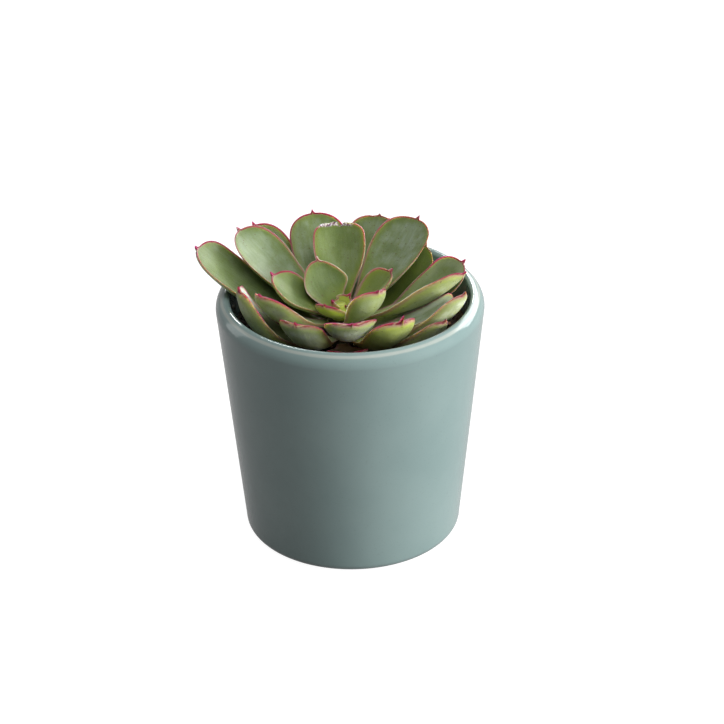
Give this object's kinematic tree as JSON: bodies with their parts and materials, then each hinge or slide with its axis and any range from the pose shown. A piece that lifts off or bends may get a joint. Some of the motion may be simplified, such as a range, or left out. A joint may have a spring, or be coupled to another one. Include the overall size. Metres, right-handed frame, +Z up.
{
  "type": "potted succulent",
  "caption": "Rosette succulent with fleshy red-edged leaves, standing in soil in a tapered glazed ceramic pot with a rounded lip.",
  "frame": {"origin": "centre of the pot's flat base", "axes": "+Z up along the pot's axis; +X to the right and -Y towards the viewer in the usual front view"},
  "size_m": [0.0966, 0.09, 0.102],
  "materials": {
    "glaze": "gloss",
    "soil": "matte",
    "stem": "satin",
    "leaf": "satin",
    "young_leaf": "satin"
  },
  "bodies": {
    "root": {"pot": "glaze", "soil": "soil", "stem": "stem", "outer_leaf_01": "leaf", "outer_leaf_02": "leaf", "outer_leaf_03": "leaf", "outer_leaf_04": "leaf", "outer_leaf_05": "leaf", "outer_leaf_06": "leaf", "outer_leaf_07": "leaf", "outer_leaf_08": "leaf", "outer_leaf_09": "leaf", "outer_leaf_10": "leaf", "middle_leaf_01": "leaf", "middle_leaf_02": "leaf", "middle_leaf_03": "leaf", "middle_leaf_04": "leaf", "middle_leaf_05": "leaf", "middle_leaf_06": "leaf", "middle_leaf_07": "leaf", "middle_leaf_08": "leaf", "middle_leaf_09": "leaf", "inner_leaf_01": "leaf", "inner_leaf_02": "leaf", "inner_leaf_03": "leaf", "inner_leaf_04": "leaf", "bud": "young_leaf"}
  },
  "joints": []
}
